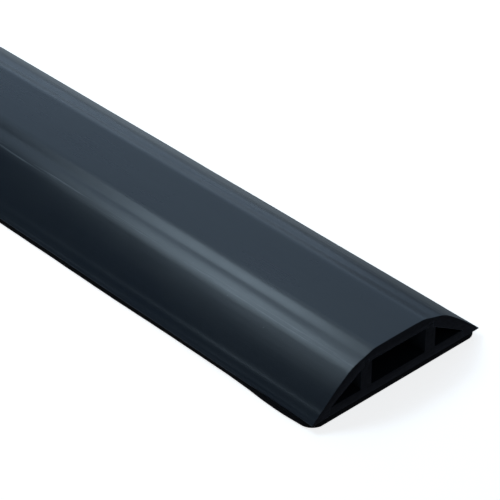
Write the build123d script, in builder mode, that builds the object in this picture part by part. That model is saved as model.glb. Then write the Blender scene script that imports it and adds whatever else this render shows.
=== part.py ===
from build123d import *
import os

# Cable protector ramp: a low arched floor duct with three cable channels, as a straight cut length.
# X runs along the length, Y across the width, Z up. The origin is the centre of the footprint on the floor.

# Driving dimensions, in millimetres
length = 500.0             # square-cut length
width = 75.0               # over the two thin edges
height = 18.8              # floor to the crown of the arch

mat_thickness = 2.0        # grip mat under everything
mat_inset = 0.2            # the mat stops this short of the cover's thin edges
mat_corner_radius = 4.5    # corners rounded in plan
mat_edge_radius = 0.3      # soft edge round the top and the bottom of the mat

floor_top = 5.2            # cable tray's floor surface, above the ground
channel_top = 14.6         # underside of the arch over the middle channel
wall_inner = 12.1          # divider wall, face towards the middle channel
wall_outer = 16.5          # divider wall, face towards the side channel
wall_outer_top = 13.1      # underside of the arch at the wall's outer face
wall_seat_gap = 0.05       # clearance between the wall's shoulders and the arch
tray_edge = 29.5           # half width of the tray's floor, at its top
seam_gap = 0.15            # clearance between the tray's edge and the cover's lip
seam_draft = 0.6           # the seam leans out this much on its way down, so the cover centres itself

tongue_width = 2.0         # tongue on top of each divider wall
tongue_height = 1.5
tongue_lead = 0.4          # chamfer on the tongue's tip
groove_gap = 0.12          # clearance round the tongue in the cover's groove

crown_edge = 11.2          # half width of the nearly flat top
crown_drop = 0.2           # the top is this much lower at its edges than at its centre
shoulder_y = 20.4          # where the gentle shoulder turns into the steep side
shoulder_z = 15.9
shoulder_sink = 0.12       # slight hollow in the shoulder, over the divider wall
side_bulge = 0.30          # the steep side is this much fuller than a straight line
crease_y = 34.0            # crease near the foot of the side
crease_z = 5.2
thin_edge_height = 0.3     # blunt end of the lip
crown_edge_radius = 7.0
shoulder_radius = 6.0
crease_radius = 3.0
channel_corner_radius = 0.5
cut_bevel = 0.15           # tiny bevel round the cut ends

tape_width = 12.0          # double-sided tape between the tray and the mat
tape_thickness = 0.3
tape_y = 20.0              # centre line of each tape strip
tape_end_gap = 4.0         # the tape stops this short of each end

half_width = width / 2
wall_middle = (wall_inner + wall_outer) / 2
arch_slope = (channel_top - wall_outer_top) / (wall_outer - wall_inner)
end_plane = Plane.YZ.offset(-length / 2)
mat_top = Plane.XY.offset(mat_thickness)

os.makedirs("parts", exist_ok=True)


def underside(y, gap=0.0):
    """The point on the arch's underside, over a divider wall, at distance y from the middle."""
    return (y, channel_top - arch_slope * (y - wall_inner) - gap)


def bulged(start, end, sag):
    """The point that stands off the middle of a chord by sag, outwards when sag is positive."""
    chord = Vector(*end) - Vector(*start)
    middle = (Vector(*start) + Vector(*end)) * 0.5
    return middle + Vector(-chord.Y, chord.X).normalized() * sag


def corners_at(sketch, half_span, reach=0.01):
    """The corners of a mirrored outline that stand half_span from its middle, both sides."""
    return sketch.vertices().filter_by(lambda v: abs(abs(v.X) - half_span) < reach)


# Cover: one arched extrusion of flexible PVC, with a groove over each divider wall and a solid lip each side
crown_side = (crown_edge, height - crown_drop)
shoulder = (shoulder_y, shoulder_z)
crease = (crease_y, crease_z)
groove_near = wall_middle - tongue_width / 2 - groove_gap
groove_far = wall_middle + tongue_width / 2 + groove_gap
groove_top = underside(wall_middle)[1] + tongue_height + groove_gap

with BuildPart() as top_cover:
    with BuildSketch(end_plane) as cover_profile:
        with BuildLine():
            TangentArc((0, height), crown_side, tangent=(1, 0))
            ThreePointArc(crown_side, bulged(crown_side, shoulder, -shoulder_sink), shoulder)
            ThreePointArc(shoulder, bulged(shoulder, crease, side_bulge), crease)
            Polyline(
                crease,
                (half_width, mat_thickness + thin_edge_height),
                (half_width, mat_thickness),
                (tray_edge + seam_gap + seam_draft, mat_thickness),
                (tray_edge + seam_gap, floor_top),
                (wall_outer, wall_outer_top),
                underside(groove_far),
                (groove_far, groove_top),
                (groove_near, groove_top),
                underside(groove_near),
                (wall_inner, channel_top),
                (0, channel_top),
            )
            mirror(about=Plane.YZ)
        make_face()
        fillet(corners_at(cover_profile, crown_edge), crown_edge_radius)
        fillet(corners_at(cover_profile, shoulder_y), shoulder_radius)
        fillet(corners_at(cover_profile, crease_y), crease_radius)
    extrude(amount=length)
    cut_ends = top_cover.faces().filter_by(Axis.X)
    chamfer(cut_ends.edges(), cut_bevel)

# Tray: the raised floor with its two divider walls, each topped by a tongue
tongue_near = wall_middle - tongue_width / 2
tongue_far = wall_middle + tongue_width / 2
tongue_top = underside(wall_middle)[1] + tongue_height

with BuildPart() as cable_tray:
    with BuildSketch(end_plane) as tray_profile:
        with BuildLine():
            Polyline(
                (0, mat_thickness),
                (tray_edge + seam_draft, mat_thickness),
                (tray_edge, floor_top),
                (wall_outer, floor_top),
                underside(wall_outer, wall_seat_gap),
                underside(tongue_far, wall_seat_gap),
                (tongue_far, tongue_top - tongue_lead),
                (tongue_far - tongue_lead, tongue_top),
                (tongue_near + tongue_lead, tongue_top),
                (tongue_near, tongue_top - tongue_lead),
                underside(tongue_near, wall_seat_gap),
                underside(wall_inner, wall_seat_gap),
                (wall_inner, floor_top),
                (0, floor_top),
            )
            mirror(about=Plane.YZ)
        make_face()
        wall_feet = corners_at(tray_profile, wall_inner) + corners_at(tray_profile, wall_outer)
        fillet(wall_feet.filter_by(lambda v: abs(v.Y - floor_top) < 0.01), channel_corner_radius)
    extrude(amount=length)
    cut_ends = cable_tray.faces().filter_by(Axis.X)
    chamfer(cut_ends.edges(), cut_bevel)
    # Pockets in the underside for the double-sided tape
    with BuildSketch(mat_top):
        with Locations((0, -tape_y), (0, tape_y)):
            Rectangle(length - 2 * tape_end_gap, tape_width)
    extrude(amount=tape_thickness, mode=Mode.SUBTRACT)

# Grip mat: the flat sheet of rubber under the tray and the lips
with BuildPart() as grip_mat:
    with BuildSketch():
        RectangleRounded(length, width - 2 * mat_inset, mat_corner_radius)
    extrude(amount=mat_thickness)
    fillet(grip_mat.faces().filter_by(Axis.Z).edges(), mat_edge_radius)

top_cover.part.label = "top_cover"
cable_tray.part.label = "cable_tray"
grip_mat.part.label = "grip_mat"
for piece in (top_cover, cable_tray, grip_mat):
    export_step(piece.part, f"parts/{piece.part.label}.step")

# Double-sided tape: one strip in each pocket, between the tray and the mat
for side, across in (("left", -tape_y), ("right", tape_y)):
    with BuildPart() as bonding_tape:
        with BuildSketch(mat_top):
            with Locations((0, across)):
                Rectangle(length - 2 * tape_end_gap, tape_width)
        extrude(amount=tape_thickness)
    bonding_tape.part.label = f"bonding_tape_{side}"
    export_step(bonding_tape.part, f"parts/bonding_tape_{side}.step")
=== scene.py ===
import math

import bmesh
import bpy
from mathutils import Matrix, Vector, noise


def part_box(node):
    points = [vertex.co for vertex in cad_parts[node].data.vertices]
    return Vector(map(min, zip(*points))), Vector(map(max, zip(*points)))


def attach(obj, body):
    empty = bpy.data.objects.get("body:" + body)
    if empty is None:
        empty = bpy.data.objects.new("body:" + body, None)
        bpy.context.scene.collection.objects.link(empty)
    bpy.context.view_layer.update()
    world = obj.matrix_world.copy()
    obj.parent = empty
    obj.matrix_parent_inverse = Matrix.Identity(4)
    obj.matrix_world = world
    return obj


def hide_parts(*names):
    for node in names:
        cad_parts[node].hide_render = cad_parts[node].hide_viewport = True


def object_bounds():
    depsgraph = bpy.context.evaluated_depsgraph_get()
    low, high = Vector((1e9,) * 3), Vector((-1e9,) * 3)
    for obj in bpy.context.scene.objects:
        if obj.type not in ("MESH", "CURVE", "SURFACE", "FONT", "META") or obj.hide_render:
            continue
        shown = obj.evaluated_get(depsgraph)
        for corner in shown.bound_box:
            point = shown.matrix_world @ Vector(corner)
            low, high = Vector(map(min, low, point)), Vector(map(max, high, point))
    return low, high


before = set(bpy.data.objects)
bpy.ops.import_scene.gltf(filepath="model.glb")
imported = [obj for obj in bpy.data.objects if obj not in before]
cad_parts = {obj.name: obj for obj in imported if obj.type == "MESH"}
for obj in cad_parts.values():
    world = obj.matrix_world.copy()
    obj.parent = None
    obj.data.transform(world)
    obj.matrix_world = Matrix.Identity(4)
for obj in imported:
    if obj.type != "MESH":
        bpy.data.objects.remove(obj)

# Looks of the cable protector ramp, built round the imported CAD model.
# X runs along the ramp, Y across it, Z up. Profiles are in millimetres, meshes and lights in metres.
MM = 0.001
cad_low, cad_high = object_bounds()
LENGTH = (cad_high[0] - cad_low[0]) / MM
HALF_LENGTH = LENGTH / 2
HALF_WIDTH = (cad_high[1] - cad_low[1]) / 2 / MM
HEIGHT = 18.8
MAT_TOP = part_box("grip_mat")[1].z / MM

# The arch's outer surface, as in the CAD profile
CROWN_EDGE = 11.2          # half width of the nearly flat top
CROWN_DROP = 0.2           # how far the top falls from its middle to its edges
SHOULDER = (20.4, 15.9)    # where the gentle shoulder turns into the steep side
CREASE = (34.0, 5.2)       # crease near the foot of the side
SIDE_BULGE = 0.50          # the side is this much fuller than a straight line, measured upright
THIN_EDGE = 0.3            # height of the lip's blunt end
CROWN_SOFTNESS = 0.30      # how widely the surfaces run into each other
SHOULDER_SOFTNESS = 0.80
CREASE_SOFTNESS = 0.06
OUTER_STEP = 0.25          # spacing of the outline's points across the arch

# Divider walls, channels and the seam between the cover and the tray, as in CAD
FLOOR_TOP = 5.2
CHANNEL_TOP = 14.6
WALL_INNER = 12.1
WALL_OUTER = 16.5
WALL_OUTER_TOP = 13.1
WALL_SEAT_GAP = 0.05
TRAY_EDGE = 29.5
SEAM_GAP = 0.15
SEAM_DRAFT = 0.6
TONGUE_HALF = 1.0
TONGUE_HEIGHT = 1.5
TONGUE_LEAD = 0.4
GROOVE_GAP = 0.12
WALL_MIDDLE = (WALL_INNER + WALL_OUTER) / 2
ARCH_SLOPE = (CHANNEL_TOP - WALL_OUTER_TOP) / (WALL_OUTER - WALL_INNER)

# Marks that the die and the cooling leave in the cover
RIDGE_HEIGHT = 0.14        # fine ridge along the crease
RIDGE_Y = 34.5
RIDGE_REACH = 0.90
SINK_DEPTH = 0.13          # sink mark in the shoulder, over the wall's groove
SINK_Y = 15.2
SINK_REACH = 1.55
SINK_END_SHARE = 0.30      # what is left of the sink mark at the cut ends
SINK_END_REACH = 24.0
SKIN_DEPTH = 0.5           # points this close under the arch's surface move with it
LIP_TIP = 1.0              # the outermost stretch keeps its height
SWELL = (0.16, 110.0, 16.0)     # height, length and width of the slow unevenness
RIPPLE = (0.03, 26.0, 5.0)      # the same for the finer one
LIP_START = 31.0           # from here outwards the lip's edge wavers sideways
LIP_WAVER = 0.22
LIP_WAVER_LENGTH = 60.0

# Cut edges and corners
CORNER_ROUND = 0.3         # softness of the extrusion's small corners
CORNER_STEPS = 3
CORNER_SIDE_SHARE = 0.4    # a corner's arc takes at most this much of either side
EDGE_ROUND = 0.07          # softness of the edges round the cut ends
EASED_SHARE = 0.3          # where a softened edge has its middle point
END_SUPPORT = 0.2          # the long faces stop this far short of the ends, so their shading stays flat
COVER_STEP = 4.0           # spacing of the sections along the cover
TRAY_STEP = 50.0
MITRE_LIMIT = 0.5          # a sharp corner moves in by at most twice the edge's amount
SHARP_ANGLE = math.radians(40)

# The mat: cut by hand, so its edge wanders and shows past the lip near the near left corner
MAT_CORNER_RADIUS = 4.5
MAT_CORNER_SECTIONS = 10   # sections round each corner, and the angle between them in degrees
MAT_CORNER_STEP = 8
MAT_EDGE_RADIUS = 0.3
MAT_STEP = 2.5
MAT_END_GAP = 0.01         # the last section, with trimmed faces, lies this far inside the end
MAT_END_TRIM = 0.12
MAT_WANDER = 0.42          # slow wandering of the edge, and the jitter on it
MAT_WANDER_LENGTH = 38.0
MAT_JITTER = 0.12
MAT_JITTER_LENGTH = 9.0
MAT_OVERHANG = 0.75
MAT_OVERHANG_X = -234.0    # on the other side it is mirrored end for end
MAT_OVERHANG_REACH = 13.0

# Painted highlight: pale threads along both shoulders, where the shoulder highlight's bright core line lies,
# in metres
THREAD_HIGHLIGHT_Y = 20.2 * MM
THREAD_HIGHLIGHT_REACH = 1.1 * MM
THREAD_HIGHLIGHT_CORE = 0.2 * MM


# ---------------------------------------------------------------- profile formulas

def soft_min(a, b, softness):
    """The lower of two heights, run into each other over the given softness."""
    share = min(max(0.5 + 0.5 * (b - a) / softness, 0.0), 1.0)
    return b + (a - b) * share - softness * share * (1.0 - share)


def line_height(y, start, end):
    """Height at y of the straight line through two profile points."""
    return start[1] + (end[1] - start[1]) * (y - start[0]) / (end[0] - start[0])


def bell(distance, reach):
    """1 at no distance, falling smoothly to nearly nothing at twice the reach."""
    return math.exp(-(distance / reach) ** 2)


def arch_height(y):
    """Height of the cover's outer surface at distance y from its middle."""
    y = abs(y)
    crown = HEIGHT - CROWN_DROP * (y / CROWN_EDGE) ** 2
    facet = line_height(y, (CROWN_EDGE, HEIGHT - CROWN_DROP), SHOULDER)
    along = (y - SHOULDER[0]) / (CREASE[0] - SHOULDER[0])
    side = line_height(y, SHOULDER, CREASE) + 4.0 * SIDE_BULGE * along * (1.0 - along)
    arch = soft_min(soft_min(crown, facet, CROWN_SOFTNESS), side, SHOULDER_SOFTNESS)
    if along > 0.5:
        skirt = line_height(y, CREASE, (HALF_WIDTH, MAT_TOP + THIN_EDGE))
        arch = -soft_min(-arch, -skirt, CREASE_SOFTNESS)
    return arch + RIDGE_HEIGHT * bell(y - RIDGE_Y, RIDGE_REACH)


def underside(y, gap=0.0):
    """Point on the arch's underside over a divider wall."""
    return (y, CHANNEL_TOP - ARCH_SLOPE * (y - WALL_INNER) - gap)


def rounded(corners):
    """An open outline with each inner corner turned into a small arc."""
    out = [corners[0]]
    for before, corner, after in zip(corners, corners[1:], corners[2:]):
        here = Vector(corner)
        back = Vector(before) - here
        ahead = Vector(after) - here
        cut = min(CORNER_ROUND, back.length * CORNER_SIDE_SHARE, ahead.length * CORNER_SIDE_SHARE)
        start = here + back.normalized() * cut
        end = here + ahead.normalized() * cut
        for i in range(CORNER_STEPS + 1):
            t = i / CORNER_STEPS
            point = start.lerp(here, t).lerp(here.lerp(end, t), t)
            out.append(tuple(point))
    out.append(corners[-1])
    return out


def mirrored(half):
    """A closed outline from its right half, which starts and ends on the middle line."""
    return half + [(-y, z) for y, z in reversed(half[1:-1])]


def cover_outline():
    """Section of the cover: the arch outside, the channels' roof and the two grooves inside."""
    outer = [(i * OUTER_STEP, arch_height(i * OUTER_STEP)) for i in range(int(HALF_WIDTH / OUTER_STEP) - 1)]
    groove_near = WALL_MIDDLE - TONGUE_HALF - GROOVE_GAP
    groove_far = WALL_MIDDLE + TONGUE_HALF + GROOVE_GAP
    groove_top = underside(WALL_MIDDLE)[1] + TONGUE_HEIGHT + GROOVE_GAP
    inner = rounded([
        outer[-1],
        (HALF_WIDTH, MAT_TOP + THIN_EDGE),
        (HALF_WIDTH, MAT_TOP),
        (TRAY_EDGE + SEAM_GAP + SEAM_DRAFT, MAT_TOP),
        (TRAY_EDGE + SEAM_GAP, FLOOR_TOP),
        (WALL_OUTER, WALL_OUTER_TOP),
        underside(groove_far),
        (groove_far, groove_top),
        (groove_near, groove_top),
        underside(groove_near),
        (WALL_INNER, CHANNEL_TOP),
        (0.0, CHANNEL_TOP),
    ])
    return mirrored(outer + inner[1:])


def tray_outline():
    """Section of the tray: its floor and the two divider walls with their tongues."""
    near = WALL_MIDDLE - TONGUE_HALF
    far = WALL_MIDDLE + TONGUE_HALF
    top = underside(WALL_MIDDLE)[1] + TONGUE_HEIGHT
    return mirrored(rounded([
        (0.0, MAT_TOP),
        (TRAY_EDGE + SEAM_DRAFT, MAT_TOP),
        (TRAY_EDGE, FLOOR_TOP),
        (WALL_OUTER, FLOOR_TOP),
        underside(WALL_OUTER, WALL_SEAT_GAP),
        underside(far, WALL_SEAT_GAP),
        (far, top - TONGUE_LEAD),
        (far - TONGUE_LEAD, top),
        (near + TONGUE_LEAD, top),
        (near, top - TONGUE_LEAD),
        underside(near, WALL_SEAT_GAP),
        underside(WALL_INNER, WALL_SEAT_GAP),
        (WALL_INNER, FLOOR_TOP),
        (0.0, FLOOR_TOP),
    ]))


# ---------------------------------------------------------------- mesh building

def inset(outline, amount):
    """The outline moved towards its solid side, for the soft edge of a cut end."""
    area = sum(outline[i - 1][0] * z - y * outline[i - 1][1] for i, (y, z) in enumerate(outline))
    turn = math.copysign(1.0, area)
    out = []
    for i, corner in enumerate(outline):
        here = Vector(corner)
        before = (here - Vector(outline[i - 1])).normalized()
        after = (Vector(outline[(i + 1) % len(outline)]) - here).normalized()
        middle = (before + after).normalized()
        reach = amount / max(middle.dot(before), MITRE_LIMIT)
        out.append((here.x - middle.y * turn * reach, here.y + middle.x * turn * reach))
    return out


def piece_from_rings(name, rings):
    """A closed mesh through rings of points in millimetres, with flat ends of their own material."""
    mesh = bmesh.new()
    rows = [[mesh.verts.new(Vector(point) * MM) for point in ring] for ring in rings]
    for near, far in zip(rows, rows[1:]):
        for i in range(len(near)):
            j = (i + 1) % len(near)
            mesh.faces.new((near[i], near[j], far[j], far[i]))
    for row in (rows[0], rows[-1]):
        cap = mesh.faces.new(row)
        cap.material_index = 1
    bmesh.ops.recalc_face_normals(mesh, faces=mesh.faces)
    data = bpy.data.meshes.new(name)
    mesh.to_mesh(data)
    mesh.free()
    for face in data.polygons:
        face.use_smooth = face.material_index == 0
    data.set_sharp_from_angle(angle=SHARP_ANGLE)
    piece = bpy.data.objects.new(name, data)
    bpy.context.scene.collection.objects.link(piece)
    return piece


def extruded_piece(name, outline, settle, step):
    """A long extrusion along X with softly rounded cut ends. settle(x, y, z) gives a point's final place."""
    inner = inset(outline, EDGE_ROUND)
    eased = inset(outline, EDGE_ROUND * EASED_SHARE)
    first = -HALF_LENGTH + END_SUPPORT
    count = int(LENGTH / step)
    stations = [
        (-HALF_LENGTH, inner),
        (-HALF_LENGTH + EDGE_ROUND * EASED_SHARE, eased),
        (-HALF_LENGTH + EDGE_ROUND, outline),
    ]
    stations += [(first + (LENGTH - 2 * END_SUPPORT) * i / count, outline) for i in range(count + 1)]
    stations += [
        (HALF_LENGTH - EDGE_ROUND, outline),
        (HALF_LENGTH - EDGE_ROUND * EASED_SHARE, eased),
        (HALF_LENGTH, inner),
    ]
    return piece_from_rings(name, [[settle(x, y, z) for y, z in ring] for x, ring in stations])


def waver(height, length, x, across, layer):
    """Random height that changes slowly with x. across and layer pick a place in the noise."""
    return height * noise.noise(Vector((x / length, across, layer)))


def cover_settle(x, y, z):
    """Unevenness of a flexible extrusion: swells, ripples and sink marks outside, and lips that waver."""
    outer = z > arch_height(y) - SKIN_DEPTH
    if outer and abs(y) < HALF_WIDTH - LIP_TIP:
        for (height, length, width), layer in ((SWELL, 3.0), (RIPPLE, 7.0)):
            z += waver(height, length, x, y / width, layer)
        released = (1.0 - SINK_END_SHARE) * bell(HALF_LENGTH - abs(x), SINK_END_REACH)
        z -= SINK_DEPTH * (1.0 - released) * bell(abs(y) - SINK_Y, SINK_REACH)
    lip = max(abs(y) - LIP_START, 0.0) / (HALF_WIDTH - LIP_START)
    y += math.copysign(lip * waver(LIP_WAVER, LIP_WAVER_LENGTH, x, math.copysign(5.0, y), 1.0), y)
    return (x, y, z)


def as_drawn(x, y, z):
    """The tray lies flat, so its points stay where the outline has them."""
    return (x, y, z)


def mat_edge(x, side):
    """Distance of the hand-cut mat's edge from the middle at station x, on side -1 or 1."""
    reach = HALF_WIDTH
    reach += waver(MAT_WANDER, MAT_WANDER_LENGTH, x, side * 9.0, 0.3)
    reach += waver(MAT_JITTER, MAT_JITTER_LENGTH, x, side * 4.0, 2.0)
    reach += MAT_OVERHANG * bell(x - side * MAT_OVERHANG_X, MAT_OVERHANG_REACH)
    into_corner = abs(x) - (HALF_LENGTH - MAT_CORNER_RADIUS)
    if into_corner > 0.0:
        rise = math.sqrt(max(MAT_CORNER_RADIUS ** 2 - into_corner ** 2, 0.0))
        reach -= MAT_CORNER_RADIUS - rise
    return reach


def mat_ring(x, trim):
    """Section of the mat at station x, its sides softened and its faces trimmed at the very ends."""
    left = mat_edge(x, -1.0)
    right = mat_edge(x, 1.0)
    soft = MAT_EDGE_RADIUS
    eased = soft * EASED_SHARE
    profile = [(soft, 0.0), (eased, eased), (0.0, soft)]
    profile += [(0.0, MAT_TOP - soft), (eased, MAT_TOP - eased), (soft, MAT_TOP)]
    profile = [(back + trim, min(max(z, trim), MAT_TOP - trim)) for back, z in profile]
    left_side = [(x, back - left, z) for back, z in profile]
    right_side = [(x, right - back, z) for back, z in reversed(profile)]
    return left_side + right_side


def mat_piece():
    """The mat, with closer sections round its corners, where they are spaced by angle."""
    middle = HALF_LENGTH - MAT_CORNER_RADIUS
    corner = []
    for i in range(1, MAT_CORNER_SECTIONS + 1):
        angle = math.radians(i * MAT_CORNER_STEP)
        corner.append(HALF_LENGTH - MAT_CORNER_RADIUS * (1.0 - math.sin(angle)))
    count = int(2 * middle / MAT_STEP)
    stations = [-x for x in reversed(corner)]
    stations += [-middle + 2 * middle * i / count for i in range(count + 1)]
    stations += corner
    rings = [mat_ring(x, 0.0) for x in stations]
    near_end, far_end = [mat_ring(side * (HALF_LENGTH - MAT_END_GAP), MAT_END_TRIM) for side in (-1.0, 1.0)]
    return piece_from_rings("mat_sheet", [near_end] + rings + [far_end])


# ---------------------------------------------------------------- materials

class Nodes:
    """A small helper for writing a node tree in a few lines."""

    def __init__(self, tree, coordinates):
        self.tree = tree
        self.place = self.add("ShaderNodeTexCoord").outputs[coordinates]

    def add(self, kind, **settings):
        node = self.tree.nodes.new(kind)
        for key, value in settings.items():
            setattr(node, key, value)
        return node

    def feed(self, socket, value):
        """Sets a socket to a number or a colour, or links another node's output to it."""
        if isinstance(value, (int, float)):
            socket.default_value = value
        elif isinstance(value, tuple):
            socket.default_value = value + (1.0,)
        else:
            self.tree.links.new(value, socket)

    def axes(self):
        """The coordinates, split into X, Y and Z."""
        node = self.add("ShaderNodeSeparateXYZ")
        self.feed(node.inputs["Vector"], self.place)
        return node.outputs

    def noise(self, scale, stretch=(1, 1, 1), detail=4.0, rough=0.55):
        mapping = self.add("ShaderNodeMapping")
        mapping.inputs["Scale"].default_value = stretch
        self.feed(mapping.inputs["Vector"], self.place)
        texture = self.add("ShaderNodeTexNoise")
        texture.inputs["Scale"].default_value = scale
        texture.inputs["Detail"].default_value = detail
        texture.inputs["Roughness"].default_value = rough
        self.feed(texture.inputs["Vector"], mapping.outputs["Vector"])
        return texture.outputs["Fac"]

    def remap(self, value, low, high, to_low=0.0, to_high=1.0):
        node = self.add("ShaderNodeMapRange")
        self.feed(node.inputs["Value"], value)
        self.feed(node.inputs["From Min"], low)
        self.feed(node.inputs["From Max"], high)
        self.feed(node.inputs["To Min"], to_low)
        self.feed(node.inputs["To Max"], to_high)
        return node.outputs["Result"]

    def math(self, operation, a, b=0.0):
        node = self.add("ShaderNodeMath", operation=operation)
        self.feed(node.inputs[0], a)
        self.feed(node.inputs[1], b)
        return node.outputs["Value"]

    def mix(self, factor, a, b):
        """Colour a where the factor is 0, colour b where it is 1."""
        node = self.add("ShaderNodeMix", data_type="RGBA")
        self.feed(node.inputs["Factor"], factor)
        self.feed(node.inputs[6], a)
        self.feed(node.inputs[7], b)
        return node.outputs[2]


class Material(Nodes):
    """A material that is written as nodes round its one shader."""

    def __init__(self, name):
        self.material = bpy.data.materials.new(name)
        self.material.use_nodes = True
        super().__init__(self.material.node_tree, "Object")
        self.shader = self.tree.nodes["Principled BSDF"]

    def look(self, colour, roughness):
        self.feed(self.shader.inputs["Base Color"], colour)
        self.feed(self.shader.inputs["Roughness"], roughness)

    def bump(self, *layers):
        """Stacks bump layers, each (height output, distance in metres)."""
        normal = None
        for height, distance in layers:
            node = self.add("ShaderNodeBump")
            node.inputs["Strength"].default_value = 1.0
            node.inputs["Distance"].default_value = distance
            self.feed(node.inputs["Height"], height)
            if normal is not None:
                self.feed(node.inputs["Normal"], normal)
            normal = node.outputs["Normal"]
        self.feed(self.shader.inputs["Normal"], normal)


def painted_highlight_threads(m):
    """Share of fine pale threads along X on both shoulders: painted highlight, the bright core line of the
    shoulder highlight.
    """
    from_middle = m.math("ABSOLUTE", m.axes()["Y"])
    from_line = m.math("ABSOLUTE", m.math("SUBTRACT", from_middle, THREAD_HIGHLIGHT_Y))
    near_line = m.remap(from_line, THREAD_HIGHLIGHT_REACH, THREAD_HIGHLIGHT_CORE)
    threads = m.remap(m.noise(1500.0, (0.022, 1, 1), detail=4.0, rough=0.65), 0.50, 0.72)
    patches = m.remap(m.noise(24.0, (0.6, 1, 1), detail=3.0), 0.38, 0.62)
    return m.math("MULTIPLY", m.math("MULTIPLY", threads, patches), m.math("MULTIPLY", near_line, 0.9))


def extruded_pvc():
    """Satin skin of the extruded cover: long die lines, cloudy bloom, faint scuffs, specks of dust and
    painted highlight threads on the shoulders.
    """
    dark_skin = (0.0075, 0.0135, 0.0235)
    light_skin = (0.0105, 0.0175, 0.0290)
    bloomed = (0.0125, 0.0190, 0.0280)
    scuffed = (0.022, 0.028, 0.036)
    # painted highlight: pale colour of the threads on the shoulders
    thread_highlight_colour = (0.17, 0.19, 0.21)
    dusty = (0.16, 0.18, 0.20)
    m = Material("cover_pvc_skin")
    streaks = m.noise(260.0, (0.03, 1, 1), detail=5.0)
    die_lines = m.noise(1000.0, (0.012, 1, 1), detail=3.0, rough=0.6)
    drift = m.noise(14.0, (0.35, 1, 1), detail=2.0)
    clouds = m.noise(55.0, (0.5, 1, 1), detail=5.0, rough=0.6)
    grain = m.noise(2600.0, detail=2.0)
    scuffs = m.remap(m.noise(90.0, (0.25, 1, 1), detail=8.0, rough=0.7), 0.60, 0.78)
    dust = m.remap(m.noise(700.0, detail=1.0), 0.80, 0.84)
    colour = m.mix(streaks, dark_skin, light_skin)
    colour = m.mix(m.remap(clouds, 0.35, 0.65), colour, bloomed)
    colour = m.mix(m.math("MULTIPLY", scuffs, 0.35), colour, scuffed)
    # painted highlight: pale threads along both shoulders
    colour = m.mix(painted_highlight_threads(m), colour, thread_highlight_colour)
    colour = m.mix(m.math("MULTIPLY", dust, 0.25), colour, dusty)
    rough = m.remap(drift, 0.3, 0.7, 0.27, 0.31)
    rough = m.math("ADD", rough, m.remap(die_lines, 0.3, 0.7, -0.012, 0.012))
    rough = m.math("ADD", rough, m.remap(clouds, 0.3, 0.7, -0.02, 0.02))
    rough = m.math("ADD", rough, m.math("MULTIPLY", scuffs, 0.05))
    m.look(colour, rough)
    m.shader.inputs["IOR"].default_value = 1.50
    m.bump((streaks, 0.00002), (die_lines, 0.000006), (grain, 0.000012), (drift, 0.00025))
    return m.material


def cut_pvc():
    """Matte saw-cut end: fine slanting tooth marks and a mottled bloom."""
    dark = (0.0013, 0.0016, 0.0038)
    light = (0.0038, 0.0044, 0.0092)
    m = Material("pvc_cut_end")
    teeth = m.noise(1500.0, (1, 0.12, 1), detail=3.0)
    mottle = m.noise(420.0, detail=6.0, rough=0.65)
    m.look(m.mix(m.remap(mottle, 0.3, 0.7), dark, light), m.remap(teeth, 0.3, 0.7, 0.62, 0.80))
    m.shader.inputs["Specular IOR Level"].default_value = 0.16
    m.bump((teeth, 0.00004), (mottle, 0.00003))
    return m.material


def inner_pvc():
    """The tray's own skin: the same PVC, less polished, with die lines along the channels. Its tones are
    darker than the cover's: painted shade that keeps the deep channels black.
    """
    # painted shade: both tones are darker than the cover's skin, so the channels read black
    dark = (0.0040, 0.0058, 0.0092)
    light = (0.0066, 0.0094, 0.0142)
    m = Material("tray_pvc_skin")
    lines = m.noise(420.0, (0.02, 1, 1), detail=4.0)
    grain = m.noise(1800.0, detail=3.0)
    m.look(m.mix(lines, dark, light), m.remap(lines, 0.3, 0.7, 0.48, 0.58))
    m.shader.inputs["Specular IOR Level"].default_value = 0.25
    m.bump((lines, 0.00004), (grain, 0.00001))
    return m.material


def mat_rubber():
    """Dull black rubber sheet with a pebbled grain and a dusty bloom."""
    black = (0.0008, 0.0008, 0.0013)
    bloomed = (0.0026, 0.0026, 0.0036)
    m = Material("mat_rubber_sheet")
    pebble = m.add("ShaderNodeTexVoronoi")
    pebble.inputs["Scale"].default_value = 1100.0
    m.feed(pebble.inputs["Vector"], m.place)
    bloom = m.noise(160.0, detail=6.0, rough=0.65)
    m.look(m.mix(m.remap(bloom, 0.3, 0.75), black, bloomed), m.remap(bloom, 0.3, 0.7, 0.70, 0.86))
    m.shader.inputs["Specular IOR Level"].default_value = 0.12
    m.bump((pebble.outputs["Distance"], 0.00006), (bloom, 0.00004))
    return m.material


def acrylic_tape():
    """Off-white double-sided foam tape with a fibrous, slightly waxy face."""
    dark_fibre = (0.50, 0.49, 0.44)
    light_fibre = (0.66, 0.65, 0.60)
    waxy = (0.42, 0.40, 0.35)
    m = Material("tape_foam")
    fibre = m.noise(900.0, (0.2, 1, 1), detail=6.0, rough=0.7)
    patches = m.noise(120.0, detail=3.0)
    colour = m.mix(m.math("MULTIPLY", patches, 0.4), m.mix(fibre, dark_fibre, light_fibre), waxy)
    m.look(colour, m.remap(patches, 0.3, 0.7, 0.45, 0.60))
    m.bump((fibre, 0.00005))
    return m.material


# ---------------------------------------------------------------- the pieces

cut_end = cut_pvc()

cover = extruded_piece("cover_extrusion", cover_outline(), cover_settle, COVER_STEP)
cover.data.materials.append(extruded_pvc())
cover.data.materials.append(cut_end)
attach(cover, "cover")
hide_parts("top_cover")

tray = extruded_piece("tray_extrusion", tray_outline(), as_drawn, TRAY_STEP)
tray.data.materials.append(inner_pvc())
tray.data.materials.append(cut_end)
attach(tray, "base")
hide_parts("cable_tray")

rubber = mat_rubber()
mat = mat_piece()
mat.data.materials.append(rubber)
mat.data.materials.append(rubber)
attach(mat, "base")
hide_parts("grip_mat")

for side in ("left", "right"):
    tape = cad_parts[f"bonding_tape_{side}"]
    tape.data.materials.clear()
    tape.data.materials.append(acrylic_tape())

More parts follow.
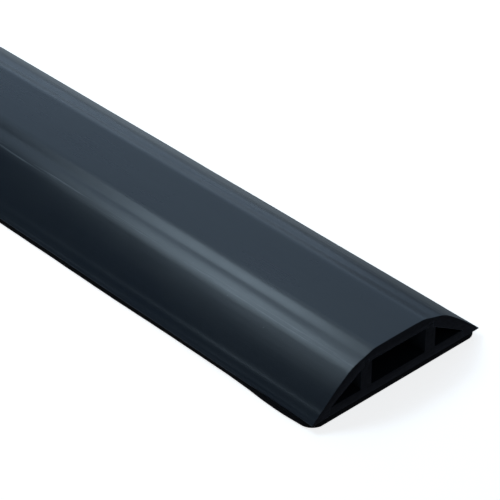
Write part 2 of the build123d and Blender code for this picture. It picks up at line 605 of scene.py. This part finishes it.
# ---------------------------------------------------------------- floor and light

FLOOR_SIZE = 60.0
FLOOR_Z = -0.0002
FLOOR_GLOW = 0.80
PAPER_DARK = (0.86, 0.86, 0.86)
PAPER_LIGHT = (0.90, 0.90, 0.90)

bpy.ops.mesh.primitive_plane_add(size=FLOOR_SIZE, location=(0, 0, FLOOR_Z))
floor = bpy.context.object
floor.name = "floor"
paper = Material("floor_paper")
paper.look(paper.mix(paper.noise(30.0), PAPER_DARK, PAPER_LIGHT), 0.9)
paper.shader.inputs["Specular IOR Level"].default_value = 0.1
paper.shader.inputs["Emission Color"].default_value = (1, 1, 1, 1)
paper.shader.inputs["Emission Strength"].default_value = FLOOR_GLOW
floor.data.materials.append(paper.material)
floor.visible_glossy = False

BLUE = (0.53, 0.72, 0.94)
CLEAR_BLUE = (0.62, 0.80, 1.0)
PALE_BLUE = (0.66, 0.85, 1.0)
FILL_BLUE = (0.72, 0.86, 1.0)
SKY_BLUE = (0.70, 0.86, 1.0)

# What the lights face: the visible stretch, its far side and its near shoulder
STRETCH = (0.15, 0, 0)
FAR_SIDE = (-0.06, 0, 0.016)
NEAR_SHOULDER = (0.215, 0, 0.016)


def softbox(name, toward, distance, size, power, colour, aim=STRETCH):
    """A rectangular area light that stands in the given direction from the ramp and faces it."""
    lamp = bpy.data.lights.new(name, "AREA")
    lamp.shape = "RECTANGLE"
    lamp.size, lamp.size_y = size
    lamp.energy = power
    lamp.color = colour
    light = bpy.data.objects.new(name, lamp)
    light.visible_camera = False
    bpy.context.scene.collection.objects.link(light)
    direction = Vector(toward).normalized()
    light.location = Vector(aim) + direction * distance
    light.rotation_euler = direction.to_track_quat("Z", "Y").to_euler()


softbox("back_softbox", (-0.61, 0.60, 0.55), 1.6, (1.7, 1.3), 5.1, BLUE)
softbox("far_strip", (-0.61, 0.76, 0.17), 0.40, (0.50, 0.08), 0.108, CLEAR_BLUE, FAR_SIDE)
softbox("shoulder_strip", (-0.60, -0.122, 0.79), 0.50, (0.28, 0.13), 0.56, PALE_BLUE, NEAR_SHOULDER)
softbox("shoulder_glow", (-0.54, 0.10, 0.80), 0.60, (0.5, 0.26), 0.30, PALE_BLUE, NEAR_SHOULDER)
softbox("front_fill", (0.7, -0.6, 0.8), 1.8, (1.2, 1.2), 0.9, FILL_BLUE)
softbox("end_fill", (0.85, 0.50, 0.62), 1.8, (1.2, 1.0), 0.6, FILL_BLUE)

# The world below the horizon stands in for the floor's mirror image and brightens towards the rear
SKY_STRENGTH = 0.075
MIRRORED_FLOOR = (0.18, 0.42)
REARWARD = (-0.53, -0.66)
HORIZON_BLUR = 0.05

world = bpy.data.worlds.new("studio")
bpy.context.scene.world = world
world.use_nodes = True
background = world.node_tree.nodes["Background"]
sky = Nodes(world.node_tree, "Generated")
way = sky.axes()
below = sky.remap(way["X"], *REARWARD, *MIRRORED_FLOOR)
strength = sky.remap(way["Z"], -HORIZON_BLUR, HORIZON_BLUR, below, SKY_STRENGTH)
sky.feed(background.inputs["Strength"], strength)
sky.feed(background.inputs["Color"], SKY_BLUE)
bpy.context.scene.view_settings.view_transform = "Standard"

# ---------------------------------------------------------------- camera

# It looks down on the near end from its thin-edge side, through a long lens
VIEW_AZIMUTH = math.radians(47.4)
VIEW_ELEVATION = math.radians(34.2)
VIEW_DISTANCE = 0.720
AIM_BEHIND_END = 0.0654
AIM_ACROSS = -0.0032
SENSOR = 36.0
LENS = 158.0

camera = bpy.data.objects.new("camera", bpy.data.cameras.new("camera"))
bpy.context.scene.collection.objects.link(camera)
back = Vector((
    math.sin(VIEW_AZIMUTH) * math.cos(VIEW_ELEVATION),
    -math.cos(VIEW_AZIMUTH) * math.cos(VIEW_ELEVATION),
    math.sin(VIEW_ELEVATION),
))
aim = Vector((cad_high[0] - AIM_BEHIND_END, AIM_ACROSS, HEIGHT * MM))
camera.location = aim + back * VIEW_DISTANCE
camera.rotation_euler = back.to_track_quat("Z", "Y").to_euler()
camera.data.sensor_width = SENSOR
camera.data.lens = LENS
bpy.context.scene.camera = camera
